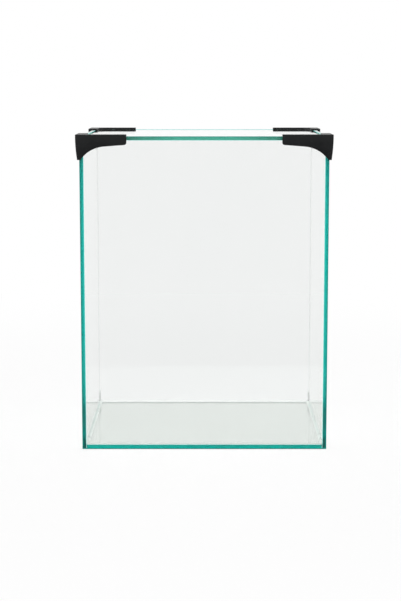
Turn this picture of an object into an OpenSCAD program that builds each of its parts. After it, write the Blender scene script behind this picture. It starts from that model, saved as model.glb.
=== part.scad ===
// Frameless glass tank for a small pet: five bonded panes, four corner clips
// and a loose cover glass.  Millimetres, +Z up, front towards -Y.
// The origin is on the ground, under the middle of the tank.

/* [Tank] */
// Outer width of the tank, across the front pane
tank_w = 250; // [180:1:400]
// Outer depth of the tank, over the front and rear panes
tank_d = 250; // [180:1:400]
// Height of the four upright panes
tank_h = 318; // [200:1:450]
// Thickness of the tank's panes
glass_t = 4; // [3:0.5:6]
// Width of the ground arris along every edge of the glass
arris = 0.4; // [0.2:0.1:0.8]

/* [Cover glass] */
// Thickness of the cover glass
cover_t = 4; // [3:0.5:5]
// Depth of the cover's top face below the pane tops
cover_sink = 0.25; // [0:0.05:1]
// Gap between the cover's edge and the clips that centre it
cover_gap = 0.6; // [0.3:0.1:1.5]

/* [Corner clips] */
// Length of each arm, from the outer corner to its end
arm_length = 50.8; // [44:0.2:70]
// Thickness of the roof that seats on the pane tops
roof_t = 1.9; // [1.5:0.1:3]
// How far the outer wall stands proud of the glass at its top
face_top = 3.7; // [3:0.1:5]
// How far the outer wall stands proud of the glass at its lowest tip
face_foot = 2; // [1.6:0.1:2.8]
// Radius of the slight swell of the outer faces
face_radius = 168; // [140:2:400]
// Full height of the clip at the corner, down to the tip
tip_depth = 25.3; // [22:0.5:32]
// Distance from the outer corner to the inner side of the tip
tip_reach = 4.9; // [4.2:0.1:5.5]
// Height of the arm at its free end
end_height = 10.2; // [9.6:0.2:12]
// Rise of the arm's lower edge towards its free end, in degrees
edge_rise = 4.4; // [3:0.2:6]
// Radius of the arch between the tip and the arm's lower edge
arch_radius = 32; // [28:1:38]
// Radius of the lower corner at the arm's free end
end_radius = 2; // [0.8:0.2:3]
// Radius along the roof's outer edge and end
roof_radius = 0.5; // [0.2:0.1:0.8]
// Thickness of the wall behind the glass
wall_t = 1.9; // [1.4:0.1:2.4]
// Leg of the 45 degree corner of the wall behind the glass
corner_leg = 6; // [5:0.5:9]
// Clearance of the slot on each face of the glass
slot_gap = 0.15; // [0.05:0.05:0.3]

/* [Cover ledge] */
// Width of the ledge under the cover glass
ledge_w = 5; // [3:0.5:8]
// Thickness of the ledge
ledge_t = 1.6; // [1.2:0.1:1.6]
// Distance of the ledge's end from the arm's free end
ledge_setback = 4; // [2:0.5:8]
// Thickness of the ribs under the ledge
rib_t = 1.2; // [0.8:0.1:2]
// Ribs under the ledge on each arm
rib_count = 3; // [1:1:4]

/* [Silicone] */
// Thickness of the silicone film in the glued joints
film_t = 0.4; // [0.2:0.1:0.8]
// Leg of the silicone bead along the inner corners
bead_leg = 2.5; // [1.5:0.5:4]
// Distance of the upright seams' top from the pane tops
seam_stop = 0.5; // [0.3:0.1:3]

/* [Hidden] */
$fn = 48;
// A circle that hollows out a face is this much larger than the hollow, so that
// it crosses the faces it meets and leaves no sliver there
lap = 0.0005;

GLASS = [0.72, 0.86, 0.83, 0.45];
SILICONE = [0.9, 0.93, 0.92, 0.7];
BLACK = [0.14, 0.15, 0.16];

// Inside of the tank, between the panes
inner_w = tank_w - 2 * glass_t;
inner_d = tank_d - 2 * glass_t;
// Bottom pane and side panes stop a film short of what they are glued to
bottom_w = inner_w - 2 * film_t;
bottom_d = inner_d - 2 * film_t;
side_d = inner_d - 2 * film_t;

// Clip, measured from the outer corner of the glass at the pane tops
slot_in = glass_t + slot_gap;
wall_in = slot_in + wall_t;
// Leg of the slot's inner corner that leaves the diagonal wall as thick as the others
slot_leg = corner_leg + (2 - sqrt(2)) * wall_t;
ledge_in = wall_in + ledge_w;
ledge_leg = max(0.5, corner_leg - (2 - sqrt(2)) * ledge_w);
arm_end = arm_length - face_top;
ledge_end = arm_end - ledge_setback;
ledge_top = -cover_sink - cover_t;

// Cover glass, lying inside the clips with its corners ground off
cover_w = tank_w - 2 * (wall_in + cover_gap);
cover_d = tank_d - 2 * (wall_in + cover_gap);
cover_leg = corner_leg - (2 - sqrt(2)) * cover_gap;

// Side view of the clip: u runs along the arm and h down, from the outer top corner.
// The arch is tangent to the arm's lower edge and ends at the inner side of the tip.
edge_normal = [sin(edge_rise), cos(edge_rise)];
edge_along = [-cos(edge_rise), sin(edge_rise)];
edge_end = [arm_length, end_height];
tip = [tip_reach, tip_depth];
tip_below_edge = (tip - edge_end) * edge_normal;
arch_run = sqrt(2 * arch_radius * tip_below_edge - pow(tip_below_edge, 2));
arch_start = tip - tip_below_edge * edge_normal - arch_run * edge_along;
arch_centre = arch_start + arch_radius * edge_normal;
// The swollen outer face passes through the top corner and the tip's outer side
face_chord = [face_top - face_foot, tip_depth];
face_offset = sqrt(pow(face_radius, 2) - pow(norm(face_chord) / 2, 2));
face_centre = face_chord / 2
    + face_offset * [face_chord.y, -face_chord.x] / norm(face_chord);
face_steps = 8;
face_curve = [
    for (i = [face_steps : -1 : 0])
        let (h = tip_depth * i / face_steps)
            [face_centre.x - sqrt(pow(face_radius, 2) - pow(h - face_centre.y, 2)), h]
];

// ---- Glass ----

// Outline of a plate's section with its four corners ground off at 45 degrees
function ground_outline(w, h, cut) = [
    [cut, 0], [w - cut, 0], [w, cut], [w, h - cut],
    [w - cut, h], [cut, h], [0, h - cut], [0, cut]
];

// Plate standing on z = 0 around the z axis, with an arris along all twelve edges
module glass_plate(w, d, h) {
    translate([-w / 2, -d / 2, 0])
        intersection() {
            linear_extrude(h) polygon(ground_outline(w, d, arris));
            translate([0, d, 0])
                rotate([90, 0, 0])
                    linear_extrude(d) polygon(ground_outline(w, h, arris));
            rotate([90, 0, 90])
                linear_extrude(w) polygon(ground_outline(d, h, arris));
        }
}

module bottom_pane() {
    color(GLASS) glass_plate(bottom_w, bottom_d, glass_t);
}

// Front and rear panes cover the full width; side = -1 is the front
module long_pane(side) {
    color(GLASS)
        translate([0, side * (tank_d - glass_t) / 2, 0])
            glass_plate(tank_w, glass_t, tank_h);
}

// Side panes stand between the front and rear panes; side = -1 is the left
module side_pane(side) {
    color(GLASS)
        translate([side * (tank_w - glass_t) / 2, 0, 0])
            glass_plate(glass_t, side_d, tank_h);
}

module front_pane() { long_pane(-1); }
module rear_pane() { long_pane(1); }
module left_pane() { side_pane(-1); }
module right_pane() { side_pane(1); }

// The cover is a plate whose corners are ground off by a larger plate turned by
// 45 degrees, so that its corner flats have their arrises too
module cover_glass() {
    diamond = ((cover_w + cover_d) / 2 - cover_leg) * sqrt(2);
    color(GLASS)
        translate([0, 0, tank_h - cover_sink - cover_t])
            intersection() {
                glass_plate(cover_w, cover_d, cover_t);
                rotate(45) glass_plate(diamond, diamond, cover_t);
            }
}

// ---- Silicone ----

// Section of a bead in the corner at [0, 0], with a hollowed face
module bead_section(leg) {
    hollow = 1.5 * leg;
    back = leg / 2 + sqrt(pow(hollow, 2) - pow(leg, 2) / 2) / sqrt(2);
    difference() {
        polygon([[0, 0], [leg, 0], [0, leg]]);
        translate([back, back]) circle(hollow + lap);
    }
}

// Film under the edge of the bottom pane and the bead above it, along a wall of
// the given inner length; the wall's inner face is the plane y = 0
module base_seam_bar(length) {
    rotate([90, 0, 90])
        linear_extrude(length, center = true)
            union() {
                square([film_t, glass_t]);
                translate([0, glass_t]) bead_section(bead_leg);
            }
}

// The bar mitred at both ends, where it meets its neighbours in the corners
module base_seam(length) {
    color(SILICONE)
        intersection() {
            base_seam_bar(length);
            linear_extrude(glass_t + 2 * bead_leg)
                polygon([
                    [-length / 2, 0], [length / 2, 0],
                    [length / 2 - 2 * bead_leg, 2 * bead_leg],
                    [2 * bead_leg - length / 2, 2 * bead_leg]
                ]);
        }
}

module seam_base_front() { translate([0, -inner_d / 2, 0]) base_seam(inner_w); }
module seam_base_rear() { rotate(180) seam_base_front(); }
module seam_base_right() { translate([inner_w / 2, 0, 0]) rotate(90) base_seam(inner_d); }
module seam_base_left() { rotate(180) seam_base_right(); }

// Upright seam of the front left corner: the film on the side pane's end and
// the bead in the corner, standing on the beads of the base
module upright_seam() {
    seam_h = tank_h - seam_stop;
    color(SILICONE)
        difference() {
            translate([-inner_w / 2, -inner_d / 2, 0]) {
                translate([-glass_t, 0, 0]) cube([glass_t, film_t, seam_h]);
                translate([0, 0, glass_t])
                    linear_extrude(seam_h - glass_t) bead_section(bead_leg);
            }
            translate([0, -inner_d / 2, 0]) base_seam_bar(inner_w);
            translate([-inner_w / 2, 0, 0]) rotate(-90) base_seam_bar(inner_d);
        }
}

module seam_front_left() { upright_seam(); }
module seam_front_right() { mirror([1, 0, 0]) upright_seam(); }
module seam_rear_left() { mirror([0, 1, 0]) upright_seam(); }
module seam_rear_right() { mirror([1, 0, 0]) mirror([0, 1, 0]) upright_seam(); }

// ---- Corner clips ----

// What a rounding of radius r takes off a corner at [0, 0], whose sides leave it
// along +x and at the given angle
module corner_waste(r, angle) {
    centre = r / tan(angle / 2) * [1, 0] + r * [0, 1];
    beyond = 1.5;
    translate(centre)
        difference() {
            polygon(beyond * [
                [0, 0], [0, -r], -centre, r * [-sin(angle), cos(angle)]
            ]);
            circle(r);
        }
}

// Side view of the clip in u and h: tapered outer face, arch and arm
module clip_outline() {
    face_start = face_curve[face_steps - 1];
    difference() {
        polygon(concat(face_curve, [[arm_length, 0], edge_end, arch_start, tip]));
        translate(arch_centre) circle(arch_radius + lap, $fn = 96);
        corner_waste(roof_radius, atan2(face_start.y, face_start.x));
        translate([arm_length, 0]) rotate(90) corner_waste(roof_radius, 90);
        translate(edge_end)
            rotate(180 - edge_rise) corner_waste(end_radius, 90 + edge_rise);
    }
}

// The outline pushed sideways through an arm along +x, or with turn = 90 along +y
module clip_profile(turn) {
    translate([0, 0, roof_t])
        rotate([-90, 0, turn])
            translate([-face_top, 0, -2 * arm_length])
                linear_extrude(4 * arm_length) clip_outline();
}

// Plan of all that lies inward of the planes x = a and y = a, whose corner is
// filled up to a 45 degree flat with the given leg
module inward_plan(a, leg, reach) {
    polygon([[a + leg, a], [reach, a], [reach, reach], [a, reach], [a, a + leg]]);
}

// Ribs under the ledge of the arm along +x, evenly spaced along it
module ledge_ribs() {
    first = ledge_in + ledge_leg;
    pitch = (ledge_end - ledge_w - first) / max(1, rib_count - 1);
    rib_h = end_height - roof_t + ledge_top - ledge_t;
    for (i = [0 : rib_count - 1])
        translate([first + i * pitch, wall_in, ledge_top - ledge_t])
            rotate([90, 0, 90])
                linear_extrude(rib_t)
                    polygon([[0, 0], [ledge_w - 0.8, 0], [0, -rib_h]]);
}

// Shelf along both arms that carries a corner of the cover glass
module cover_ledge() {
    translate([0, 0, ledge_top - ledge_t])
        linear_extrude(ledge_t)
            intersection() {
                difference() {
                    inward_plan(wall_in, corner_leg, arm_length);
                    inward_plan(ledge_in, ledge_leg, 2 * arm_length);
                }
                polygon([
                    [0, 0], [ledge_end, 0], [ledge_end, wall_in],
                    [ledge_end - ledge_w, ledge_in], [ledge_in, ledge_end - ledge_w],
                    [wall_in, ledge_end], [0, ledge_end]
                ]);
            }
    ledge_ribs();
    mirror([1, -1, 0]) ledge_ribs();
}

// One moulding fits every corner. Its frame has the outer corner of the glass at
// the pane tops as origin, and the two arms lie along +x and +y.
module corner_clip() {
    difference() {
        intersection() {
            clip_profile(0);
            clip_profile(90);
            translate([0, 0, -tip_depth])
                linear_extrude(tip_depth + roof_t)
                    difference() {
                        translate([-face_top, -face_top]) square(arm_length);
                        inward_plan(wall_in, corner_leg, 2 * arm_length);
                    }
        }
        // Slots for both panes, opened at the corner to clear the silicone bead
        translate([0, 0, -tip_depth - 1])
            linear_extrude(tip_depth + 1)
                difference() {
                    translate([-slot_gap, -slot_gap]) square(2 * arm_length);
                    inward_plan(slot_in, slot_leg, 3 * arm_length);
                }
    }
    cover_ledge();
}

// Clip on the front left corner; the other three are the same piece turned round
module placed_clip(turn, w, d) {
    color(BLACK)
        rotate(turn)
            translate([-w / 2, -d / 2, tank_h]) corner_clip();
}

module clip_front_left() { placed_clip(0, tank_w, tank_d); }
module clip_front_right() { placed_clip(90, tank_d, tank_w); }
module clip_rear_right() { placed_clip(180, tank_w, tank_d); }
module clip_rear_left() { placed_clip(270, tank_d, tank_w); }

bottom_pane();
front_pane();
rear_pane();
left_pane();
right_pane();
seam_base_front();
seam_base_rear();
seam_base_left();
seam_base_right();
seam_front_left();
seam_front_right();
seam_rear_left();
seam_rear_right();
clip_front_left();
clip_front_right();
clip_rear_left();
clip_rear_right();
cover_glass();
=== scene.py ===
"""Looks of a frameless glass tank for a small pet.

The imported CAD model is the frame. Around it this script builds what is seen:
clear panes with ground edges, tooled silicone seams, satin corner clips, the
loose cover glass, and a plain pale studio. Lengths are in metres.
"""

import logging
import math
from dataclasses import dataclass, replace
from enum import Enum, IntEnum
from typing import Any

import bmesh
import bpy
from mathutils import Matrix, Vector


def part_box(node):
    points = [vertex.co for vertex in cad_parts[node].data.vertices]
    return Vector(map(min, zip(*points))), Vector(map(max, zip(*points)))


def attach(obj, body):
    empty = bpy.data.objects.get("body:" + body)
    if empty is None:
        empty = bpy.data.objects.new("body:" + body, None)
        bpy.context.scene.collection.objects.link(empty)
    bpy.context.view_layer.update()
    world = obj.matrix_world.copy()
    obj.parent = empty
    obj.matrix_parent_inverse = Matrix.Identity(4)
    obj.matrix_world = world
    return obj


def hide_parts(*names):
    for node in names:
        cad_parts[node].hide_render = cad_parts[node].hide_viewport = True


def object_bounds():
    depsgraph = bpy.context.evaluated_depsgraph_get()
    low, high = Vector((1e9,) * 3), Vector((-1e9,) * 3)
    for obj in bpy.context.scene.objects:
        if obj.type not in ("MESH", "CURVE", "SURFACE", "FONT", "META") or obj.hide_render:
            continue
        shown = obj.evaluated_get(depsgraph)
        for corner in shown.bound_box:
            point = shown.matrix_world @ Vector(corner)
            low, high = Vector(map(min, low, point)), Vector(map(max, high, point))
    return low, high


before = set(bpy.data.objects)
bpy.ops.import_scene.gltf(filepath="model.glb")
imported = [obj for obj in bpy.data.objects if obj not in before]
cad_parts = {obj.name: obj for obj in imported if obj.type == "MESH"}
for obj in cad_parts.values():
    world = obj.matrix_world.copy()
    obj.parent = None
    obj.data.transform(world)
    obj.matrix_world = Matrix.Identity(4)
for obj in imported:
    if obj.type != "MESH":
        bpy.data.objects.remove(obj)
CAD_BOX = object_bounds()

logging.basicConfig(level=logging.INFO, format="%(levelname)s %(message)s")
log = logging.getLogger("glass_tank")

MM = 0.001
TANK, COVER = "tank", "cover"
FLOAT, VECTOR = "NodeSocketFloat", "NodeSocketVector"
WHITE = (1.0, 1.0, 1.0)
Span = tuple[float, float]
Colour = tuple[float, float, float]
Place = tuple[float, float, float]
Sockets = dict[str, bpy.types.NodeSocket]
# x, y, 1 on the tooled face of a seam, and 1 on its bead
OutlinePoint = tuple[float, float, float, float]

# A face whose normal has more than SQUARE along an axis lies square to it, and one
# with less than SLANTED runs along it
SQUARE, SLANTED = 0.9, 0.2
# Most of the grain's slow variation lies between these
CLOUD_RANGE = (0.3, 0.7)


class Axis(Enum):
    """The axis along which a plate is thin."""

    X = 0
    Y = 1
    Z = 2


class Face(IntEnum):
    """What a face of a plate is, which is also the number of its material slot."""

    CLEAR = 0
    CUT = 1
    ARRIS = 2
    RIM = 3


# ---- Node trees ----


class Graph:
    """Adds nodes to a node tree and joins them."""

    def __init__(self, tree: bpy.types.NodeTree) -> None:
        """Keeps the tree that the nodes go into."""
        self.tree = tree

    def add(
        self, kind: str, feeds: dict[str | int, Any] | None = None, **settings: Any
    ) -> bpy.types.Node:
        """Adds one node.

        Args:
            kind: The node's type name.
            feeds: Values or sockets for its inputs, by name or number.
            settings: Properties of the node.

        Returns:
            The new node.
        """
        node = self.tree.nodes.new(kind)
        for name, value in settings.items():
            setattr(node, name, value)
        for key, value in (feeds or {}).items():
            self.feed(node.inputs[key], value)
        return node

    def feed(self, socket: bpy.types.NodeSocket, value: Any) -> None:
        """Links or sets one input.

        Args:
            socket: The input.
            value: A socket to link, or a value to set; a colour may lack its alpha.
        """
        if isinstance(value, bpy.types.NodeSocket):
            self.tree.links.new(value, socket)
        elif socket.type == "RGBA" and len(value) == 3:
            socket.default_value = (*value, 1.0)
        else:
            socket.default_value = value

    def math(self, operation: str, *values: Any, clamp: bool = False) -> bpy.types.NodeSocket:
        """Adds a Math node and returns its result."""
        feeds = dict(enumerate(values))
        return self.add("ShaderNodeMath", feeds, operation=operation, use_clamp=clamp).outputs[0]

    def remap(
        self, value: Any, low: Any, high: Any, to_low: Any, to_high: Any, smooth: bool = True
    ) -> bpy.types.NodeSocket:
        """Maps one range to another.

        Args:
            value: What is mapped.
            low: Where the range starts.
            high: Where it ends.
            to_low: The result up to its start.
            to_high: The result from its end on.
            smooth: Whether the map is eased at both ends.

        Returns:
            The mapped value.
        """
        feeds = {"Value": value, "From Min": low, "From Max": high,
                 "To Min": to_low, "To Max": to_high}
        kind = "SMOOTHSTEP" if smooth else "LINEAR"
        return self.add("ShaderNodeMapRange", feeds, interpolation_type=kind).outputs["Result"]

    def mix(self, factor: Any, first: Any, second: Any) -> bpy.types.NodeSocket:
        """Mixes two colours.

        Args:
            factor: The share of the second colour.
            first: The colour at 0.
            second: The colour at 1.

        Returns:
            The mixed colour.
        """
        node = self.add("ShaderNodeMix", data_type="RGBA")
        self.feed(node.inputs["Factor"], factor)
        colours = [s for s in node.inputs if s.type == "RGBA"]
        self.feed(colours[0], first)
        self.feed(colours[1], second)
        return next(s for s in node.outputs if s.type == "RGBA")


def node_group(
    name: str, inputs: dict[str, tuple[str, Any]], outputs: dict[str, str],
    kind: str = "ShaderNodeTree",
) -> tuple[Graph, Sockets, bpy.types.Node]:
    """Starts a node group with named sockets.

    Args:
        name: The group's name.
        inputs: Socket kind and default by input name.
        outputs: Socket kind by output name.
        kind: The type of tree.

    Returns:
        The group's graph, its input sockets by name, and its output node.
    """
    tree = bpy.data.node_groups.new(name, kind)
    for label, (socket, default) in inputs.items():
        made = tree.interface.new_socket(label, in_out="INPUT", socket_type=socket)
        if default is not None:
            made.default_value = default
    for label, socket in outputs.items():
        tree.interface.new_socket(label, in_out="OUTPUT", socket_type=socket)
    entry = tree.nodes.new("NodeGroupInput")
    sockets = {label: entry.outputs[label] for label in inputs}
    return Graph(tree), sockets, tree.nodes.new("NodeGroupOutput")


def build_moulded_grain() -> bpy.types.NodeTree:
    """Group for a fine moulded or cast surface.

    Returns:
        The group, which puts out a fine height and a slow variation.
    """
    g, i, out = node_group(
        "moulded_grain",
        {"Vector": (VECTOR, None), "Scale": (FLOAT, 2400.0), "Cloud Scale": (FLOAT, 60.0)},
        {"Height": FLOAT, "Cloud": FLOAT},
    )
    fine = g.add("ShaderNodeTexNoise", {"Vector": i["Vector"], "Scale": i["Scale"], "Detail": 3.0})
    cloud = g.add("ShaderNodeTexNoise",
                  {"Vector": i["Vector"], "Scale": i["Cloud Scale"], "Detail": 4.0})
    g.feed(out.inputs["Height"], fine.outputs["Fac"])
    g.feed(out.inputs["Cloud"], cloud.outputs["Fac"])
    return g.tree


def build_wiped_film() -> bpy.types.NodeTree:
    """Group for the faint upright streaks that wiping leaves on glass.

    Returns:
        The group, whose Streak is 1 within a streak.
    """
    streak_from, streak_full = 0.35, 0.7
    g, i, out = node_group(
        "wiped_film",
        {"Vector": (VECTOR, None), "Scale": (FLOAT, 30.0), "Stretch": (FLOAT, 0.06)},
        {"Streak": FLOAT},
    )
    apart = g.add("ShaderNodeSeparateXYZ", {0: i["Vector"]})
    upright = g.math("MULTIPLY", apart.outputs["Z"], i["Stretch"])
    joined = g.add("ShaderNodeCombineXYZ",
                   {"X": apart.outputs["X"], "Y": apart.outputs["Y"], "Z": upright})
    noise = g.add("ShaderNodeTexNoise",
                  {"Vector": joined.outputs[0], "Scale": i["Scale"], "Detail": 3.0})
    streak = g.remap(noise.outputs["Fac"], streak_from, streak_full, 0.0, 1.0)
    g.feed(out.inputs["Streak"], streak)
    return g.tree


def build_edge_light() -> bpy.types.NodeTree:
    """Group for the light that gathers in a cut edge of glass.

    Shade runs from 0 in the dark bands to 1 in the bright ones. It changes across
    the thickness, slowly along the edge, and towards the foot and the ends.

    Returns:
        The group.
    """
    along_scale, across_scale, foot_ripple = 22.0, 0.7, 2.5
    g, i, out = node_group(
        "edge_light",
        {
            "Along": (FLOAT, 0.0), "Across": (FLOAT, 0.0), "Height": (FLOAT, 0.0),
            "Level": (FLOAT, 0.7), "Tilt": (FLOAT, -0.3), "Foot Tilt": (FLOAT, 0.3),
            "Foot Height": (FLOAT, 0.07), "End Dark": (FLOAT, 0.0), "End Start": (FLOAT, 0.02),
            "End Reach": (FLOAT, 0.085), "Ripple": (FLOAT, 0.15),
        },
        {"Shade": FLOAT},
    )
    foot = g.remap(i["Height"], 0.0, i["Foot Height"], 1.0, 0.0)
    more = g.math("SUBTRACT", i["Foot Tilt"], i["Tilt"])
    tilt = g.math("ADD", i["Tilt"], g.math("MULTIPLY", foot, more))
    lean = g.math("MULTIPLY", g.math("SUBTRACT", i["Across"], 0.5), tilt)
    where = g.add("ShaderNodeCombineXYZ", {
        "X": g.math("MULTIPLY", i["Along"], along_scale),
        "Y": g.math("MULTIPLY", i["Across"], across_scale)})
    noise = g.add("ShaderNodeTexNoise", {"Vector": where.outputs[0], "Scale": 1.0, "Detail": 3.0})
    growth = g.math("ADD", 1.0, g.math("MULTIPLY", foot, foot_ripple))
    ripple = g.math("MULTIPLY", g.math("SUBTRACT", noise.outputs["Fac"], 0.5),
                    g.math("MULTIPLY", i["Ripple"], growth))
    shade = g.math("ADD", g.math("ADD", i["Level"], lean), ripple)
    middle = g.math("ABSOLUTE", i["Along"])
    ends = g.remap(middle, i["End Start"], i["End Reach"], 0.0, i["End Dark"])
    shade = g.math("SUBTRACT", shade, ends, clamp=True)
    g.feed(out.inputs["Shade"], shade)
    return g.tree


# ---- Finishes ----


def new_material(name: str) -> tuple[bpy.types.Material, Graph, bpy.types.Node]:
    """Starts a node material.

    Args:
        name: The material's name.

    Returns:
        The material, its graph and its Principled shader.
    """
    made = bpy.data.materials.new(name)
    made.use_nodes = True
    made.node_tree.nodes.clear()
    g = Graph(made.node_tree)
    shader = g.add("ShaderNodeBsdfPrincipled")
    g.add("ShaderNodeOutputMaterial", {"Surface": shader.outputs[0]})
    return made, g, shader


def let_lamps_through(g: Graph, shader: bpy.types.Node, tint: Colour) -> None:
    """Lets the lamps shine through a clear finish, which would else block them.

    Args:
        g: The material's graph.
        shader: The clear finish.
        tint: What the lamps' light is multiplied by at each face.
    """
    open_way = g.add("ShaderNodeBsdfTransparent", {"Color": tint})
    lamp_ray = g.add("ShaderNodeLightPath").outputs["Is Shadow Ray"]
    both = g.add("ShaderNodeMixShader", {
        0: lamp_ray, 1: shader.outputs[0], 2: open_way.outputs[0]})
    surface = next(node for node in g.tree.nodes if node.type == "OUTPUT_MATERIAL")
    g.feed(surface.inputs["Surface"], both.outputs[0])


def add_grain(
    g: Graph, shader: bpy.types.Node, grain: bpy.types.NodeTree, place: bpy.types.NodeSocket,
    rough: Span, bump: Span, scales: dict[str, float] | None = None,
) -> bpy.types.NodeSocket:
    """Roughens a finish with the shared grain.

    Args:
        g: The material's graph.
        shader: The finish.
        grain: The shared group.
        place: The coordinates that the grain follows.
        rough: The least and the greatest roughness.
        bump: The bump's strength, and its depth in metres.
        scales: Scales that differ from the group's own, by input name.

    Returns:
        The slow variation.
    """
    rub = g.add("ShaderNodeGroup", {"Vector": place, **(scales or {})}, node_tree=grain)
    cloud = rub.outputs["Cloud"]
    g.feed(shader.inputs["Roughness"], g.remap(cloud, *CLOUD_RANGE, *rough))
    feeds = {"Height": rub.outputs["Height"], "Strength": bump[0], "Distance": bump[1]}
    g.feed(shader.inputs["Normal"], g.add("ShaderNodeBump", feeds).outputs[0])
    return cloud


@dataclass(frozen=True)
class ClearGlass:
    """Clear float glass, wiped clean."""

    name: str = "clear_float_glass"
    tint: Colour = (0.993, 1.0, 0.997)
    streak_tint: Colour = (0.989, 0.997, 0.993)
    streak_rough: float = 0.004
    lamp_tint: Colour = (0.95, 0.965, 0.96)
    ior: float = 1.47

    def build(self, film: bpy.types.NodeTree) -> bpy.types.Material:
        """Makes the material.

        Args:
            film: The group of wiped streaks.

        Returns:
            The material.
        """
        made, g, shader = new_material(self.name)
        place = g.add("ShaderNodeTexCoord").outputs["Object"]
        streak = g.add("ShaderNodeGroup", {"Vector": place}, node_tree=film).outputs["Streak"]
        g.feed(shader.inputs["Base Color"], g.mix(streak, self.tint, self.streak_tint))
        g.feed(shader.inputs["Roughness"], g.remap(streak, 0.0, 1.0, 0.0, self.streak_rough))
        shader.inputs["Transmission Weight"].default_value = 1.0
        shader.inputs["IOR"].default_value = self.ior
        let_lamps_through(g, shader, self.lamp_tint)
        return made


@dataclass(frozen=True)
class CutEdge:
    """Ground edge of a pane, where the light inside the glass gathers.

    The rise is the level at heights in metres. Without one the level is the same all
    along the edge. The edge is opaque: its colours stand for light from within.
    """

    name: str
    bright: Colour
    dark: Colour
    level: float = 0.7
    rise: tuple[Span, ...] = ()
    tilt: float = -0.3
    foot_tilt: float = 0.3
    foot_height: float = 0.07
    end_dark: float = 0.0
    ripple: float = 0.15
    roughness: float = 0.3
    rough_spread: float = 0.08
    bump: Span = (0.15, 0.01 * MM)
    specular: float = 0.2
    ior: float = 1.52
    inside: Colour = (0.75, 0.92, 0.89)

    def level_at(self, g: Graph, height: bpy.types.NodeSocket) -> bpy.types.NodeSocket | float:
        """Gives the level, from a curve over the height where there is a rise.

        Args:
            g: The material's graph.
            height: The height above the ground.

        Returns:
            The level.
        """
        if not self.rise:
            return self.level
        top = self.rise[-1][0]
        node = g.add("ShaderNodeFloatCurve", {"Value": g.math("DIVIDE", height, top)})
        curve = node.mapping.curves[0]
        points = [(place / top, level) for place, level in self.rise]
        curve.points[0].location, curve.points[-1].location = points[0], points[-1]
        for point in points[1:-1]:
            curve.points.new(*point)
        node.mapping.update()
        return node.outputs[0]

    def build(self, light: bpy.types.NodeTree, grain: bpy.types.NodeTree) -> bpy.types.Material:
        """Makes the material.

        Args:
            light: The group of gathered light.
            grain: The group of moulded grain.

        Returns:
            The material.
        """
        made, g, shader = new_material(self.name)
        uv = g.add("ShaderNodeSeparateXYZ", {0: g.add("ShaderNodeUVMap", uv_map="edge").outputs[0]})
        place = g.add("ShaderNodeTexCoord").outputs["Object"]
        height = g.add("ShaderNodeSeparateXYZ", {0: place}).outputs["Z"]
        lit = g.add("ShaderNodeGroup", {
            "Along": uv.outputs["X"], "Across": uv.outputs["Y"], "Height": height,
            "Level": self.level_at(g, height), "Tilt": self.tilt, "Foot Tilt": self.foot_tilt,
            "Foot Height": self.foot_height, "End Dark": self.end_dark, "Ripple": self.ripple,
        }, node_tree=light)
        outer = g.mix(lit.outputs["Shade"], self.dark, self.bright)
        # Seen from inside the glass, the edge has a colour of its own, which is painted light too
        back = g.add("ShaderNodeNewGeometry").outputs["Backfacing"]
        g.feed(shader.inputs["Base Color"], g.mix(back, outer, self.inside))
        rough = (self.roughness - self.rough_spread, self.roughness + self.rough_spread)
        add_grain(g, shader, grain, place, rough, self.bump)
        shader.inputs["IOR"].default_value = self.ior
        shader.inputs["Specular IOR Level"].default_value = self.specular
        return made


@dataclass(frozen=True)
class ClearSilicone:
    """Clear silicone rubber with a tooled skin, shown by alpha and not refracting.

    It wets the glass, so it hides almost nothing behind it. The beads around the base
    are thick enough to look milky, and at the foot of the rear corners a thicker drop
    is painted grey as shade.
    Only the beads show: the film in the joints lies beyond the wall or below the floor.
    """

    milky: Colour = (0.84, 0.88, 0.855)
    # Painted shade for the drop at the foot of the rear corners
    drop_shade_colour: Colour = (0.16, 0.175, 0.17)
    roughness: float = 0.25
    bump: Span = (0.3, 0.02 * MM)
    grain_scale: float = 700.0
    ior: float = 1.41
    wall: float = 120.9 * MM
    floor: float = 4.0 * MM
    base_top: Span = (6.4 * MM, 7.0 * MM)
    rear_from: Span = (117.0 * MM, 118.0 * MM)
    corner_from: Span = (119.6 * MM, 120.4 * MM)
    drop_foot: Span = (5.0 * MM, 7.0 * MM)
    drop_top: Span = (13.0 * MM, 21.0 * MM)
    veil: float = 0.015
    base_veil: float = 0.55
    rear_veil: float = 0.25
    drop_veil: float = 0.42

    def build(self, grain: bpy.types.NodeTree) -> bpy.types.Material:
        """Makes the material.

        Args:
            grain: The group of moulded grain.

        Returns:
            The material.
        """
        made, g, shader = new_material("clear_silicone_rubber")
        spot = g.add("ShaderNodeTexCoord").outputs["Object"]
        place = g.add("ShaderNodeSeparateXYZ", {0: spot})
        side, deep = (g.math("ABSOLUTE", place.outputs[axis]) for axis in "XY")
        rearward, height = place.outputs["Y"], place.outputs["Z"]
        bead = g.math("MULTIPLY", g.math("LESS_THAN", g.math("MAXIMUM", side, deep), self.wall),
                      g.math("GREATER_THAN", height, self.floor))
        low_veil = g.remap(rearward, *self.rear_from, self.base_veil, self.rear_veil)
        veil = g.remap(height, *self.base_top, low_veil, self.veil)
        corner = g.math("MULTIPLY", g.math("GREATER_THAN", rearward, self.rear_from[0]),
                        g.remap(side, *self.corner_from, 0.0, 1.0))
        tall = g.math("MULTIPLY", g.remap(height, *self.drop_foot, 0.0, 1.0),
                      g.remap(height, *self.drop_top, 1.0, 0.0))
        drop = g.math("MULTIPLY", corner, tall)
        thick = g.math("ADD", veil, g.math("MULTIPLY", drop, self.drop_veil))
        g.feed(shader.inputs["Alpha"], g.math("MULTIPLY", bead, thick))
        # The drop at the foot of the rear corners takes a painted shade of grey
        g.feed(shader.inputs["Base Color"], g.mix(drop, self.milky, self.drop_shade_colour))
        add_grain(g, shader, grain, spot, (self.roughness, 2 * self.roughness), self.bump,
                  {"Scale": self.grain_scale})
        shader.inputs["IOR"].default_value = self.ior
        return made


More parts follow.
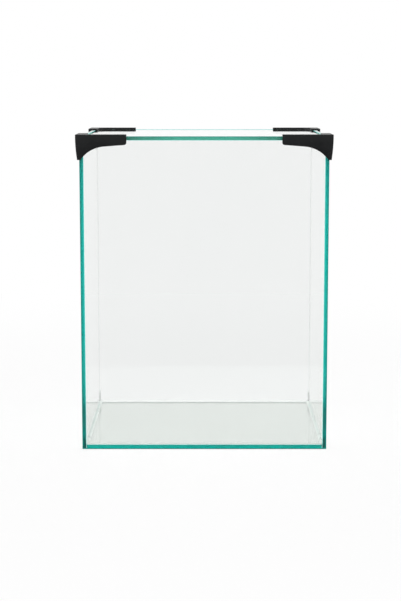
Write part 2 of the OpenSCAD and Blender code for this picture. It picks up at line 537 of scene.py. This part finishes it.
@dataclass(frozen=True)
class BlackPlastic:
    """Satin black moulded plastic with a fine spark-eroded grain."""

    base: Colour = (0.0092, 0.0101, 0.011)
    worn: Colour = (0.0132, 0.0141, 0.015)
    roughness: float = 0.42
    rough_spread: float = 0.06
    bump: Span = (0.35, 0.04 * MM)
    grain_scale: float = 3200.0
    cloud_scale: float = 90.0
    specular: float = 0.36

    def build(self, grain: bpy.types.NodeTree) -> bpy.types.Material:
        """Makes the material.

        Args:
            grain: The group of moulded grain.

        Returns:
            The material.
        """
        made, g, shader = new_material("satin_black_plastic")
        place = g.add("ShaderNodeTexCoord").outputs["Object"]
        rough = (self.roughness - self.rough_spread, self.roughness + self.rough_spread)
        cloud = add_grain(g, shader, grain, place, rough, self.bump,
                          {"Scale": self.grain_scale, "Cloud Scale": self.cloud_scale})
        g.feed(shader.inputs["Base Color"], g.mix(cloud, self.base, self.worn))
        shader.inputs["Specular IOR Level"].default_value = self.specular
        return made


@dataclass
class Finishes:
    """Every material of the tank, built once."""

    glass: ClearGlass = ClearGlass()
    # The bottom pane keeps the glass's faint tint and adds a deeper one that is painted shade,
    # darkening the floor seen under the tank
    base_glass: ClearGlass = ClearGlass(
        "base_float_glass", tint=(0.862, 0.896, 0.867), streak_tint=(0.853, 0.887, 0.858))
    silicone: ClearSilicone = ClearSilicone()
    plastic: BlackPlastic = BlackPlastic()
    upright_edge: CutEdge = CutEdge(
        "upright_cut_edge", bright=(0.004, 0.56, 0.48), dark=(0.001, 0.08, 0.07),
        rise=((0.0, 0.2), (0.009, 0.2), (0.014, 0.42), (0.024, 0.26), (0.035, 0.26), (0.055, 0.68),
              (0.1, 0.86), (0.19, 0.92), (0.253, 0.82), (0.292, 0.57), (0.318, 0.5)),
        foot_tilt=0.35, inside=(0.8, 0.93, 0.91))
    front_edge: CutEdge = replace(
        upright_edge, name="front_cut_edge", specular=0.0, inside=(0.01, 0.95, 0.85))
    base_edge: CutEdge = CutEdge(
        "base_cut_edge", bright=(0.002, 0.62, 0.52), dark=(0.001, 0.14, 0.12),
        level=0.68, tilt=1.0, foot_tilt=1.0, ripple=0.12, inside=(0.97, 1.0, 0.98))
    cover_edge: CutEdge = CutEdge(
        "cover_cut_edge", bright=(0.085, 0.5, 0.37), dark=(0.04, 0.1, 0.07),
        level=0.95, tilt=-0.1, foot_tilt=-0.1, end_dark=0.45, ripple=0.12)
    arris: CutEdge = CutEdge(
        "ground_arris", bright=(0.004, 0.3, 0.26), dark=(0.3, 0.85, 0.8),
        level=0.5, tilt=1.6, foot_tilt=1.6, ripple=0.2, roughness=0.45, specular=0.0)
    front_arris: CutEdge = replace(arris, name="front_arris", inside=(0.01, 0.95, 0.85))
    rim: CutEdge = CutEdge(
        "ground_rim", bright=(0.78, 0.86, 0.85), dark=(0.6, 0.74, 0.72),
        level=0.8, tilt=0.0, foot_tilt=0.0, ripple=0.4, roughness=0.35)

    def __post_init__(self) -> None:
        """Builds the shared groups and the materials."""
        grain, film, light = build_moulded_grain(), build_wiped_film(), build_edge_light()
        self.clear = self.glass.build(film)
        self.base_clear = self.base_glass.build(film)
        self.rubber = self.silicone.build(grain)
        self.black = self.plastic.build(grain)
        self.edges = {
            edge.name: edge.build(light, grain)
            for edge in (self.upright_edge, self.front_edge, self.base_edge, self.cover_edge,
                         self.arris, self.front_arris, self.rim)
        }


# ---- Meshes ----


def copied_mesh(node: str, name: str, planar: float, dist: float = 0.001 * MM) -> bpy.types.Mesh:
    """Copies a CAD node's mesh, closed up for shading.

    Args:
        node: The CAD node.
        name: The new mesh's name.
        planar: Faces that meet below this angle, in radians, become one.
        dist: Points closer than this become one.

    Returns:
        The new mesh, without materials.
    """
    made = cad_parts[node].data.copy()
    made.name = name
    made.materials.clear()
    for layer in list(made.uv_layers):
        made.uv_layers.remove(layer)
    work = bmesh.new()
    work.from_mesh(made)
    bmesh.ops.remove_doubles(work, verts=work.verts, dist=dist)
    bmesh.ops.dissolve_limit(
        work, angle_limit=planar, verts=work.verts, edges=work.edges, delimit={"NORMAL"})
    work.to_mesh(made)
    work.free()
    return made


def new_piece(name: str, mesh: bpy.types.Mesh) -> bpy.types.Object:
    """Links a new object to the scene.

    Args:
        name: The object's name.
        mesh: The mesh that it shows.

    Returns:
        The object.
    """
    made = bpy.data.objects.new(name, mesh)
    bpy.context.scene.collection.objects.link(made)
    return made


def evaluated_mesh(piece: bpy.types.Object) -> None:
    """Turns a piece's modifiers into its mesh and removes them.

    Args:
        piece: The piece, which keeps its materials.
    """
    graph = bpy.context.evaluated_depsgraph_get()
    made = bpy.data.meshes.new_from_object(piece.evaluated_get(graph))
    made.name = piece.name
    piece.modifiers.clear()
    old, piece.data = piece.data, made
    bpy.data.meshes.remove(old)


def face_outwards(mesh: bpy.types.Mesh, dist: float = 0.0001 * MM) -> None:
    """Merges doubles, drops collapsed faces and turns a closed shell outwards.

    Args:
        mesh: The mesh to repair.
        dist: Points and edges closer than this become one.
    """
    work = bmesh.new()
    work.from_mesh(mesh)
    bmesh.ops.remove_doubles(work, verts=work.verts, dist=dist)
    bmesh.ops.dissolve_degenerate(work, edges=work.edges, dist=dist)
    bmesh.ops.recalc_face_normals(work, faces=work.faces)
    if work.calc_volume(signed=True) < 0.0:
        bmesh.ops.reverse_faces(work, faces=work.faces)
    work.to_mesh(mesh)
    work.free()


# ---- Glass ----


@dataclass
class Plate:
    """A sheet of glass: two clear faces, cut edges and ground arrises."""

    node: str
    piece: str
    body: str
    thin: Axis
    edge: CutEdge
    finishes: Finishes
    flat_angle: float = math.radians(0.5)
    least_run: float = 0.1

    def kind_of(self, normal: Vector) -> Face:
        """Tells what a face of the sheet is.

        Args:
            normal: The face's normal.

        Returns:
            The kind of face.
        """
        share = abs(normal[self.thin.value])
        if share > SQUARE or (share > SLANTED and self.is_wetted(normal)):
            return Face.CLEAR
        if self.thin is not Axis.Z and normal.z > SQUARE:
            return Face.RIM
        return Face.CUT if share < SLANTED else Face.ARRIS

    def is_wetted(self, normal: Vector) -> bool:
        """Tells whether silicone wets an arris and hides it.

        Args:
            normal: The arris's normal.

        Returns:
            Whether it does.
        """
        if self.node == "bottom_pane":
            return normal.z > SLANTED and normal.y > -SLANTED
        return self.thin is Axis.X and normal.y > SLANTED and abs(normal.z) < SLANTED

    def materials(self) -> tuple[bpy.types.Material, ...]:
        """Gives the sheet's materials.

        Returns:
            The materials, in the order of Face.
        """
        f = self.finishes
        clear = f.base_clear if self.node == "bottom_pane" else f.clear
        arris = f.front_arris if self.node == "front_pane" else f.arris
        return clear, f.edges[self.edge.name], f.edges[arris.name], f.edges[f.rim.name]

    def map_edges(self, mesh: bpy.types.Mesh) -> float:
        """Lays out the map that the cut edges follow, and gives each face its kind.

        Along the first axis of the map lies the way along the edge, in metres, and
        along the second the share of the thickness. A pane's outer face is at 1.

        Args:
            mesh: The sheet's mesh.

        Returns:
            The sheet's thickness.
        """
        low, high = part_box(self.node)
        across = self.thin.value
        thickness = high[across] - low[across]
        middle = (CAD_BOX[0][across] + CAD_BOX[1][across]) / 2
        faces_up_axis = (high + low)[across] / 2 >= middle
        thin = Vector((0, 0, 0))
        thin[across] = 1.0
        layer = mesh.uv_layers.new(name="edge")
        for face in mesh.polygons:
            face.material_index = self.kind_of(face.normal)
            run = thin.cross(face.normal)
            run = run.normalized() if run.length > self.least_run else Vector((0, 0, 0))
            for loop in face.loop_indices:
                point = mesh.vertices[mesh.loops[loop].vertex_index].co
                part = (point[across] - low[across]) / thickness
                layer.data[loop].uv = (run.dot(point), part if faces_up_axis else 1.0 - part)
        return thickness

    def build(self) -> bpy.types.Object:
        """Builds the sheet in place of its CAD node.

        Returns:
            The new piece.
        """
        mesh = copied_mesh(self.node, self.piece, planar=self.flat_angle)
        for finish in self.materials():
            mesh.materials.append(finish)
        thickness = self.map_edges(mesh)
        made = new_piece(self.piece, mesh)
        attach(made, self.body)
        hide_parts(self.node)
        faces = len(mesh.polygons)
        log.info("glass %s: %d faces, %.1f mm thick", self.piece, faces, thickness / MM)
        return made


@dataclass
class GlassBox:
    """The five bonded panes and the loose cover."""

    finishes: Finishes

    def build(self) -> list[bpy.types.Object]:
        """Builds every sheet of glass.

        Returns:
            The new pieces.
        """
        f = self.finishes
        sheets = (
            ("bottom_pane", "bottom_glass", TANK, Axis.Z, f.base_edge),
            ("front_pane", "front_glass", TANK, Axis.Y, f.front_edge),
            ("rear_pane", "rear_glass", TANK, Axis.Y, f.upright_edge),
            ("left_pane", "left_glass", TANK, Axis.X, f.upright_edge),
            ("right_pane", "right_glass", TANK, Axis.X, f.upright_edge),
            ("cover_glass", "cover_sheet", COVER, Axis.Z, f.cover_edge),
        )
        return [Plate(*sheet, finishes=f).build() for sheet in sheets]


# ---- Silicone ----


@dataclass
class SeamTree:
    """Geometry Nodes tree that sweeps a seam's section along a straight joint.

    The section lies in x and y with the corner of the joint at the origin, and the
    joint runs along +z. Attribute free marks the tooled face, and bead marks the
    bead as against the thin film in the joint.
    """

    name: str = "swept_seam"
    step: float = 2.5 * MM

    def build(self) -> bpy.types.NodeTree:
        """Builds the tree.

        Returns:
            The tree, with its sizes as named inputs.
        """
        g, i, out = node_group(
            self.name,
            {
                "Section": ("NodeSocketGeometry", None),
                "Length": (FLOAT, 0.2), "Step": (FLOAT, self.step), "Mitre": (FLOAT, 0.0),
                "Wobble": (FLOAT, 0.0001), "Wobble Scale": (FLOAT, 60.0), "Seed": (FLOAT, 0.0),
                "Swell": (FLOAT, 0.0), "Swell Length": (FLOAT, 0.01),
                "Finish": ("NodeSocketMaterial", None),
            },
            {"Geometry": "NodeSocketGeometry"},
            kind="GeometryNodeTree",
        )
        end = g.add("ShaderNodeCombineXYZ", {"Z": i["Length"]})
        line = g.add("GeometryNodeCurvePrimitiveLine", {"End": end.outputs[0]})
        path = g.add("GeometryNodeResampleCurve",
                     {"Curve": line.outputs[0], "Length": i["Step"]}, mode="LENGTH")
        outline = g.add("GeometryNodeMeshToCurve", {"Mesh": i["Section"]})
        swept = g.add("GeometryNodeCurveToMesh", {
            "Curve": path.outputs[0], "Profile Curve": outline.outputs[0], "Fill Caps": True})
        shape = self.swelled(g, i, swept.outputs[0])
        shape = self.wobbled(g, i, shape)
        shape = self.mitred(g, i, shape)
        real = g.add("GeometryNodeRealizeInstances", {"Geometry": shape})
        done = g.add("GeometryNodeSetMaterial",
                     {"Geometry": real.outputs[0], "Material": i["Finish"]})
        g.feed(out.inputs["Geometry"], done.outputs[0])
        return g.tree

    @staticmethod
    def attribute(g: Graph, name: str) -> bpy.types.NodeSocket:
        """Reads a named attribute of the section."""
        node = g.add("GeometryNodeInputNamedAttribute", {"Name": name}, data_type="FLOAT")
        return node.outputs["Attribute"]

    @staticmethod
    def place(g: Graph) -> Sockets:
        """Reads the place of each point, by the name of the axis."""
        apart = g.add("ShaderNodeSeparateXYZ", {0: g.add("GeometryNodeInputPosition").outputs[0]})
        return {axis: apart.outputs[axis] for axis in "XYZ"}

    @staticmethod
    def moved(
        g: Graph, shape: bpy.types.NodeSocket, offset: bpy.types.Node
    ) -> bpy.types.NodeSocket:
        """Moves each point by what the offset node puts out first."""
        feeds = {"Geometry": shape, "Offset": offset.outputs[0]}
        return g.add("GeometryNodeSetPosition", feeds).outputs[0]

    def swelled(self, g: Graph, i: Sockets, shape: bpy.types.NodeSocket) -> bpy.types.NodeSocket:
        """Widens the bead towards its foot, where three beads meet.

        Args:
            g: The tree's graph.
            i: The tree's inputs, by name.
            shape: The swept seam.

        Returns:
            The widened seam.
        """
        place = self.place(g)
        foot = g.remap(place["Z"], 0.0, i["Swell Length"], i["Swell"], 0.0)
        share = g.math("MULTIPLY", foot, self.attribute(g, "bead"))
        offset = g.add("ShaderNodeCombineXYZ", {
            axis: g.math("MULTIPLY", place[axis], share) for axis in "XY"})
        return self.moved(g, shape, offset)

    def wobbled(self, g: Graph, i: Sockets, shape: bpy.types.NodeSocket) -> bpy.types.NodeSocket:
        """Lets the tooled face waver as a finger leaves it.

        Args:
            g: The tree's graph.
            i: The tree's inputs, by name.
            shape: The seam, in its own frame.

        Returns:
            The seam with its face pushed in and out.
        """
        noise = g.add("ShaderNodeTexNoise", {
            "Vector": g.add("GeometryNodeInputPosition").outputs[0], "W": i["Seed"],
            "Scale": i["Wobble Scale"], "Detail": 1.5}, noise_dimensions="4D")
        wave = g.math("MULTIPLY", g.math("SUBTRACT", noise.outputs[0], 0.5), i["Wobble"])
        wave = g.math("MULTIPLY", wave, self.attribute(g, "free"))
        push = g.add("ShaderNodeVectorMath", {0: (1.0, 1.0, 0.0)}, operation="SCALE")
        g.feed(push.inputs["Scale"], wave)
        return self.moved(g, shape, push)

    def mitred(self, g: Graph, i: Sockets, shape: bpy.types.NodeSocket) -> bpy.types.NodeSocket:
        """Slants both ends, so that the seam meets its neighbours in the corners.

        Args:
            g: The tree's graph.
            i: The tree's inputs, by name.
            shape: The seam, with ends square to its length.

        Returns:
            The seam with slanted ends.
        """
        place = self.place(g)
        along = g.math("DIVIDE", place["Z"], i["Length"])
        slant = g.math("SUBTRACT", 1.0, g.math("MULTIPLY", along, 2.0))
        shift = g.math("MULTIPLY", g.math("MULTIPLY", place["X"], slant), i["Mitre"])
        return self.moved(g, shape, g.add("ShaderNodeCombineXYZ", {"Z": shift}))


@dataclass
class Seams:
    """The film in every glued joint and the tooled bead in every inner corner.

    The foot share is how far up the base bead, as a share of its leg, the upright
    seams start.
    """

    finishes: Finishes
    film: float = 0.4 * MM
    bead_leg: float = 2.5 * MM
    hollow: float = 3.75 * MM
    air: float = 0.02 * MM
    arc_steps: int = 10
    wobble: float = 0.25 * MM
    swell: float = 0.35
    swell_length: float = 16 * MM
    foot_share: float = 0.4
    first_upright_seed: float = 10.0
    smooth_angle: float = math.radians(35)

    def __post_init__(self) -> None:
        """Builds the tree, and takes the walls and the glass from the bottom pane."""
        self.tree = SeamTree().build()
        low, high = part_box("bottom_pane")
        self.glass_t = high.z - low.z
        self.wall_x, self.wall_y = high.x + self.film, high.y + self.film

    def arc(self, x: float, y: float) -> list[OutlinePoint]:
        """Draws the hollow face of a bead.

        Args:
            x: The corner that the bead fills, in the section's own x.
            y: The same in its y.

        Returns:
            The points from the end of one leg to the end of the other.
        """
        leg, radius = self.bead_leg, self.hollow
        back = leg / 2 + math.sqrt(radius**2 - leg**2 / 2) / math.sqrt(2)
        first = math.atan2(-back, leg - back)
        last = math.atan2(leg - back, -back)
        points = []
        for step in range(self.arc_steps + 1):
            turn = first + (last - first) * step / self.arc_steps
            free = 1.0 if 0 < step < self.arc_steps else 0.0
            points.append((x + back + radius * math.cos(turn),
                           y + back + radius * math.sin(turn), free, 1.0))
        return points

    @staticmethod
    def section(name: str, loop: list[OutlinePoint]) -> bpy.types.Mesh:
        """Makes the outline mesh of a seam.

        Args:
            name: The mesh's name.
            loop: The points, in order round the section.

        Returns:
            A mesh of edges with the attributes free and bead.
        """
        made = bpy.data.meshes.new(name)
        edges = [(k, (k + 1) % len(loop)) for k in range(len(loop))]
        made.from_pydata([(x, y, 0.0) for x, y, _, _ in loop], edges, [])
        for label, column in (("free", 2), ("bead", 3)):
            layer = made.attributes.new(label, "FLOAT", "POINT")
            layer.data.foreach_set("value", [p[column] for p in loop])
        return made

    def sweep(
        self, node: str, section: bpy.types.Mesh, place: Matrix, sizes: dict[str, float]
    ) -> bpy.types.Object:
        """Sweeps one seam and puts it in place of its CAD node.

        Args:
            node: The CAD node.
            section: The seam's outline.
            place: Where the seam's own frame lies in the row frame.
            sizes: Values for the tree's inputs, by name.

        Returns:
            The new piece.
        """
        made = new_piece(node.replace("seam_", "silicone_"), section)
        modifier = made.modifiers.new("sweep", "NODES")
        modifier.node_group = self.tree
        named = {item.name: item.identifier
                 for item in self.tree.interface.items_tree if item.in_out == "INPUT"}
        for label, value in {**sizes, "Finish": self.finishes.rubber}.items():
            modifier[named[label]] = value
        evaluated_mesh(made)
        made.data.transform(place)
        face_outwards(made.data)
        made.data.shade_smooth()
        made.data.set_sharp_from_angle(angle=self.smooth_angle)
        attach(made, TANK)
        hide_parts(node)
        log.info("seam %s: %d faces", made.name, len(made.data.polygons))
        return made

    def build(self) -> list[bpy.types.Object]:
        """Builds the four base seams and the four upright ones.

        Returns:
            The new pieces.
        """
        return [*self.build_base(), *self.build_upright()]

    def build_base(self) -> list[bpy.types.Object]:
        """Builds the seams between the bottom pane and the walls.

        Returns:
            The new pieces.
        """
        # The outline keeps a hair's breadth off the glass, so no face lies in another
        gap, film, glass_t = self.air, self.film, self.glass_t
        outline = [(gap, gap, 0.0, 0.0), (film - gap, gap, 0.0, 0.0),
                   (film - gap, glass_t + gap, 0.0, 1.0),
                   *self.arc(gap, glass_t + gap), (gap, glass_t + gap, 0.0, 1.0)]
        # Section x points inwards, section y up, and the sweep runs along the wall
        frame_in = Matrix(((0, 0, -1), (1, 0, 0), (0, 1, 0))).to_4x4()
        made = []
        for count, (side, turn, reach, half) in enumerate((
            ("front", 0, self.wall_y, self.wall_x), ("right", 90, self.wall_x, self.wall_y),
            ("rear", 180, self.wall_y, self.wall_x), ("left", 270, self.wall_x, self.wall_y),
        )):
            place = (Matrix.Rotation(math.radians(turn), 4, "Z")
                     @ Matrix.Translation((half, -reach, 0)) @ frame_in)
            made.append(self.sweep(
                f"seam_base_{side}", self.section(f"base_{side}", outline), place,
                {"Length": 2 * half, "Mitre": 1.0, "Wobble": self.wobble, "Seed": float(count)}))
        return made

    def build_upright(self) -> list[bpy.types.Object]:
        """Builds the seams in the upright corners, from the base beads to the top.

        Returns:
            The new pieces.
        """
        gap, film, glass_t = self.air, self.film, self.glass_t
        outline = [(-glass_t, gap, 0.0, 0.0), (gap, gap, 0.0, 1.0), *self.arc(gap, gap),
                   (gap, film - gap, 0.0, 0.0), (-glass_t, film - gap, 0.0, 0.0)]
        foot = self.foot_share * self.bead_leg + glass_t
        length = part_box("seam_front_left")[1].z - foot
        made = []
        for count, (name, flip_x, flip_y) in enumerate((
            ("front_left", 1, 1), ("front_right", -1, 1),
            ("rear_left", 1, -1), ("rear_right", -1, -1),
        )):
            place = (Matrix.Diagonal((flip_x, flip_y, 1, 1))
                     @ Matrix.Translation((-self.wall_x, -self.wall_y, foot)))
            made.append(self.sweep(
                f"seam_{name}", self.section(name, outline), place,
                {"Length": length, "Wobble": self.wobble,
                 "Seed": self.first_upright_seed + count,
                 "Swell": self.swell, "Swell Length": self.swell_length}))
        return made


# ---- Corner clips ----


@dataclass
class CornerClips:
    """Four mouldings that cap the corners and carry the cover glass."""

    finishes: Finishes
    edge_radius: float = 0.25 * MM
    edge_steps: int = 2
    edge_angle: float = math.radians(40)
    flat_angle: float = math.radians(0.3)
    smooth_angle: float = math.radians(30)
    merge_dist: float = 0.002 * MM

    def build(self) -> list[bpy.types.Object]:
        """Builds the clips from their CAD nodes, with softened edges.

        Returns:
            The new pieces.
        """
        made = []
        for corner in ("front_left", "front_right", "rear_left", "rear_right"):
            node = f"clip_{corner}"
            mesh = copied_mesh(node, f"corner_clip_{corner}", planar=self.flat_angle)
            mesh.materials.append(self.finishes.black)
            piece = new_piece(f"corner_clip_{corner}", mesh)
            bevel = piece.modifiers.new("edges", "BEVEL")
            bevel.width, bevel.segments = self.edge_radius, self.edge_steps
            bevel.limit_method, bevel.angle_limit = "ANGLE", self.edge_angle
            bevel.use_clamp_overlap = True
            evaluated_mesh(piece)
            face_outwards(piece.data, dist=self.merge_dist)
            piece.data.shade_smooth()
            piece.data.set_sharp_from_angle(angle=self.smooth_angle)
            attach(piece, TANK)
            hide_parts(node)
            log.info("clip %s: %d faces", piece.name, len(piece.data.polygons))
            made.append(piece)
        return made


# ---- Studio ----


@dataclass
class Studio:
    """Plain pale floor, plain soft light, white surroundings and the camera.

    A share called white is how far the floor shows as plain white. The dark room in
    front is seen only in the glass, as the sky and the floor that it mirrors.
    """

    floor_half: float = 60.0
    floor_drop: float = 0.2 * MM
    floor_white: float = 0.8
    under_white: float = 0.2
    under_reach: Span = (0.1248, 0.1248)
    shade_reach: Span = (0.3, 1.2)
    floor_colour: float = 0.97
    # Paint under the glass base, darker as a painted shadow of the tank
    under_shadow_colour: float = 0.79
    world_level: float = 0.78
    room_dark: float = 0.1
    room_front: Span = (-0.128, -0.124)
    room_side: Span = (0.02, 0.04)
    room_taper: float = 0.9
    sky_dark: float = 0.6
    sky_front: Span = (-0.75, -0.15)
    lamp_aim: Place = (0.0, 0.0, 0.16)
    eye: Place = (0.0, -1.8896, 0.3746)
    pitch: float = math.radians(9.25)
    lens: float = 105.25
    sensor: float = 36.0
    clip: Span = (0.05, 200.0)
    shift: Span = (-0.0064, 0.1073)

    def build(self) -> None:
        """Builds the whole studio."""
        self.build_world()
        self.build_floor()
        self.build_lamps()
        self.build_camera()
        bpy.context.scene.view_settings.view_transform = "Standard"
        cycles = bpy.context.scene.cycles
        cycles.blur_glossy = 0.0
        cycles.max_bounces = 32
        cycles.transmission_bounces = 28
        cycles.glossy_bounces = 12
        cycles.transparent_max_bounces = 16

    @staticmethod
    def sees_white(
        g: Graph, front: bpy.types.NodeSocket
    ) -> tuple[bpy.types.NodeSocket, bpy.types.NodeSocket]:
        """Light Path masks for surroundings that are white behind the tank.

        Args:
            g: The graph to build in.
            front: 1 where the surroundings lie in front of the tank, else 0.

        Returns:
            1 for rays that show the surroundings as they are, and 1 where such a
            ray was mirrored towards the dark room in front.
        """
        path = g.add("ShaderNodeLightPath").outputs
        shown = g.math("MAXIMUM", path["Is Camera Ray"], path["Is Transmission Ray"])
        shown = g.math("MAXIMUM", shown, path["Is Glossy Ray"])
        mirrored = g.math("GREATER_THAN", path["Glossy Depth"], 0.5)
        return shown, g.math("MULTIPLY", mirrored, front)

    def build_world(self) -> None:
        """White all round, at a plain level for the light on the object."""
        world = bpy.data.worlds.new("pale_studio")
        bpy.context.scene.world = world
        world.use_nodes = True
        world.node_tree.nodes.clear()
        g = Graph(world.node_tree)
        heading = g.add("ShaderNodeTexCoord").outputs["Generated"]
        deep = g.add("ShaderNodeSeparateXYZ", {0: heading}).outputs["Y"]
        shown, mirrored = self.sees_white(g, g.remap(deep, *self.sky_front, 1.0, 0.0))
        seen = g.remap(mirrored, 0.0, 1.0, 1.0, self.sky_dark, smooth=False)
        spread = g.math("SUBTRACT", seen, self.world_level)
        strength = g.math("ADD", self.world_level, g.math("MULTIPLY", shown, spread))
        light = g.add("ShaderNodeBackground", {"Color": WHITE, "Strength": strength})
        g.add("ShaderNodeOutputWorld", {"Surface": light.outputs[0]})

    def build_floor(self) -> None:
        """Builds the floor, a hair's breadth under the tank."""
        half, drop = self.floor_half, -self.floor_drop
        corners = [(-half, -half), (half, -half), (half, half), (-half, half)]
        mesh = bpy.data.meshes.new("floor")
        mesh.from_pydata([(x, y, drop) for x, y in corners], [], [(0, 1, 2, 3)])
        mesh.materials.append(self.floor_finish())
        new_piece("floor", mesh)

    def floor_finish(self) -> bpy.types.Material:
        """Pale floor that shows as white and keeps a soft shadow.

        Returns:
            The material.
        """
        made = bpy.data.materials.new("pale_floor")
        made.use_nodes = True
        made.node_tree.nodes.clear()
        g = Graph(made.node_tree)
        spot = g.add("ShaderNodeTexCoord").outputs["Object"]
        place = g.add("ShaderNodeSeparateXYZ", {0: spot}).outputs
        # The dark room is the sector that the front pane mirrors
        beside = g.math("ADD", g.math("ABSOLUTE", place["X"]),
                        g.math("MULTIPLY", place["Y"], self.room_taper))
        front = g.math("MULTIPLY", g.remap(place["Y"], *self.room_front, 1.0, 0.0),
                       g.remap(beside, *self.room_side, 1.0, 0.0))
        shown, mirrored = self.sees_white(g, front)
        # Under the glass base the floor shows its own lit shade on paint darkened as a painted
        # shadow, and far out it turns plain white
        beneath = g.math("MULTIPLY", *(
            g.math("LESS_THAN", g.math("ABSOLUTE", place[axis]), reach)
            for axis, reach in zip("XY", self.under_reach)))
        shade = g.remap(beneath, 0.0, 1.0, self.floor_colour, self.under_shadow_colour, smooth=False)
        grey = g.add("ShaderNodeCombineColor", {"Red": shade, "Green": shade, "Blue": shade})
        paint = g.add("ShaderNodeBsdfDiffuse", {"Color": grey.outputs[0]})
        white = g.add("ShaderNodeEmission", {"Color": WHITE, "Strength": 1.0})
        room = (self.room_dark,) * 3
        dark = g.add("ShaderNodeEmission", {"Color": room, "Strength": 1.0})
        away = g.add("ShaderNodeVectorMath", {0: spot}, operation="LENGTH").outputs["Value"]
        share = g.remap(away, *self.shade_reach, self.floor_white, 1.0)
        share = g.remap(beneath, 0.0, 1.0, share, self.under_white, smooth=False)
        lit = g.add("ShaderNodeMixShader", {
            0: g.math("MULTIPLY", shown, share), 1: paint.outputs[0], 2: white.outputs[0]})
        both = g.add("ShaderNodeMixShader", {0: mirrored, 1: lit.outputs[0], 2: dark.outputs[0]})
        g.add("ShaderNodeOutputMaterial", {"Surface": both.outputs[0]})
        return made

    def build_lamps(self) -> None:
        """Three soft lamps, high up and out of every mirror image."""
        for name, place, size, power in (
            ("soft_front", (-1.1, -1.7, 2.2), 1.6, 8.0),
            ("soft_right", (1.9, 0.2, 2.0), 1.4, 4.0),
            ("soft_top", (0.0, 0.3, 2.5), 2.0, 3.0),
        ):
            lamp = bpy.data.lights.new(name, "AREA")
            lamp.energy, lamp.size = power, size
            made = bpy.data.objects.new(name, lamp)
            made.location = place
            away = Vector(place) - Vector(self.lamp_aim)
            made.rotation_euler = away.to_track_quat("Z", "Y").to_euler()
            made.visible_glossy = False
            bpy.context.scene.collection.objects.link(made)

    def build_camera(self) -> None:
        """Long lens, a little above the rim and looking down at the tank."""
        data = bpy.data.cameras.new("camera")
        data.lens, data.sensor_width = self.lens, self.sensor
        data.shift_x, data.shift_y = self.shift
        data.clip_start, data.clip_end = self.clip
        camera = bpy.data.objects.new("camera", data)
        camera.location = self.eye
        camera.rotation_euler = (math.pi / 2 - self.pitch, 0.0, 0.0)
        bpy.context.scene.collection.objects.link(camera)
        bpy.context.scene.camera = camera


def main() -> None:
    """Builds the tank piece by piece."""
    finishes = Finishes()
    glass = GlassBox(finishes).build()
    seams = Seams(finishes).build()
    clips = CornerClips(finishes).build()
    Studio().build()
    log.info("built %d sheets of glass, %d seams and %d clips", len(glass), len(seams), len(clips))


if __name__ == "__main__":
    main()
